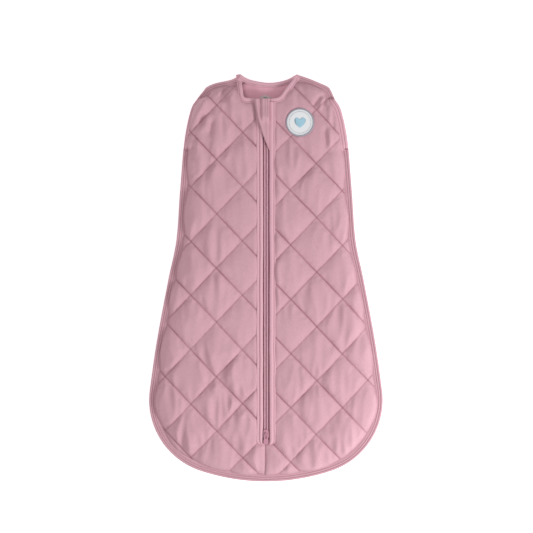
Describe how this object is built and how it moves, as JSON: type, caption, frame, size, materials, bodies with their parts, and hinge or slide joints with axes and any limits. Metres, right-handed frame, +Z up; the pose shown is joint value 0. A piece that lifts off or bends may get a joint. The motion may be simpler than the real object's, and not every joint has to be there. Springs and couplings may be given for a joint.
{
  "type": "baby sleeping bag",
  "caption": "Quilted baby sleeping bag lying flat, with a centre-front two-way zip, chin flap, bound neck and armholes, snapped shoulders and a round chest patch.",
  "frame": {"origin": "centre of the bag's footprint, on the surface it lies on", "axes": "+Z up out of the front face, +Y towards the neck, +X towards the wearer's left"},
  "size_m": [0.3728, 0.6519, 0.0254],
  "materials": {
    "shell_knit": "soft cotton jersey, dusty pink, quilted",
    "lining_knit": "plain cotton jersey, a darker dusty pink",
    "wadding": "carded polyester wadding, white",
    "binding_rib": "fine rib knit binding, dusty pink, topstitched",
    "zip_tape": "twill woven polyester tape",
    "zip_coil": "moulded nylon coil, pale pink",
    "slider_paint": "enamelled zinc, satin pink",
    "patch_twill": "white cotton twill",
    "patch_thread": "merrowed grey thread edge",
    "heart_felt": "pale blue satin stitch",
    "label_print": "soft grey transfer print",
    "snap_plastic": "moulded acetal, pink"
  },
  "bodies": {
    "bag": {"back_shell": "shell_knit", "back_wadding": "wadding", "back_lining": "lining_knit", "front_left_shell": "shell_knit", "front_left_wadding": "wadding", "front_left_lining": "lining_knit", "front_right_shell": "shell_knit", "front_right_wadding": "wadding", "front_right_lining": "lining_knit", "hem_band": "shell_knit", "shoulder_seam_left": "shell_knit", "shoulder_seam_right": "shell_knit", "armhole_binding_left_front": "binding_rib", "armhole_binding_left_back": "binding_rib", "armhole_binding_right_front": "binding_rib", "armhole_binding_right_back": "binding_rib", "neck_binding_left": "binding_rib", "neck_binding_right": "binding_rib", "neck_binding_back": "binding_rib", "zip_facing_left": "binding_rib", "zip_facing_right": "binding_rib", "zip_guard": "lining_knit", "zip_tape_left": "zip_tape", "zip_tape_right": "zip_tape", "zip_coil_left": "zip_coil", "zip_coil_right": "zip_coil", "zip_top_stops": "zip_coil", "zip_bottom_stop": "zip_coil", "patch_base": "patch_twill", "patch_rim": "patch_thread", "patch_heart": "heart_felt", "neck_label": "label_print", "snap_studs": "snap_plastic", "snap_sockets": "snap_plastic"},
    "flap": {"chin_flap": "shell_knit"},
    "upper_slider": {"upper_slider_body": "slider_paint"},
    "upper_pull": {"upper_slider_pull": "slider_paint"},
    "lower_slider": {"lower_slider_body": "slider_paint"},
    "lower_pull": {"lower_slider_pull": "slider_paint"}
  },
  "joints": [
    {"name": "chin_flap_fold", "type": "hinge", "parent": "bag", "child": "flap", "pos_m": [0.006, 0.2435, 0.0247], "axis": [0, 1, 0], "range_deg": [0, 160]},
    {"name": "upper_slider_travel", "type": "slide", "parent": "bag", "child": "upper_slider", "axis": [0, -1, 0], "range_m": [0, 0.48]},
    {"name": "upper_pull_swing", "type": "hinge", "parent": "upper_slider", "child": "upper_pull", "pos_m": [0, 0.273, 0.0201], "axis": [-1, 0, 0], "range_deg": [0, 10]},
    {"name": "lower_slider_travel", "type": "slide", "parent": "bag", "child": "lower_slider", "axis": [0, 1, 0], "range_m": [0, 0.43]},
    {"name": "lower_pull_swing", "type": "hinge", "parent": "lower_slider", "child": "lower_pull", "pos_m": [0, -0.2495, 0.0201], "axis": [-1, 0, 0], "range_deg": [0, 175]}
  ]
}
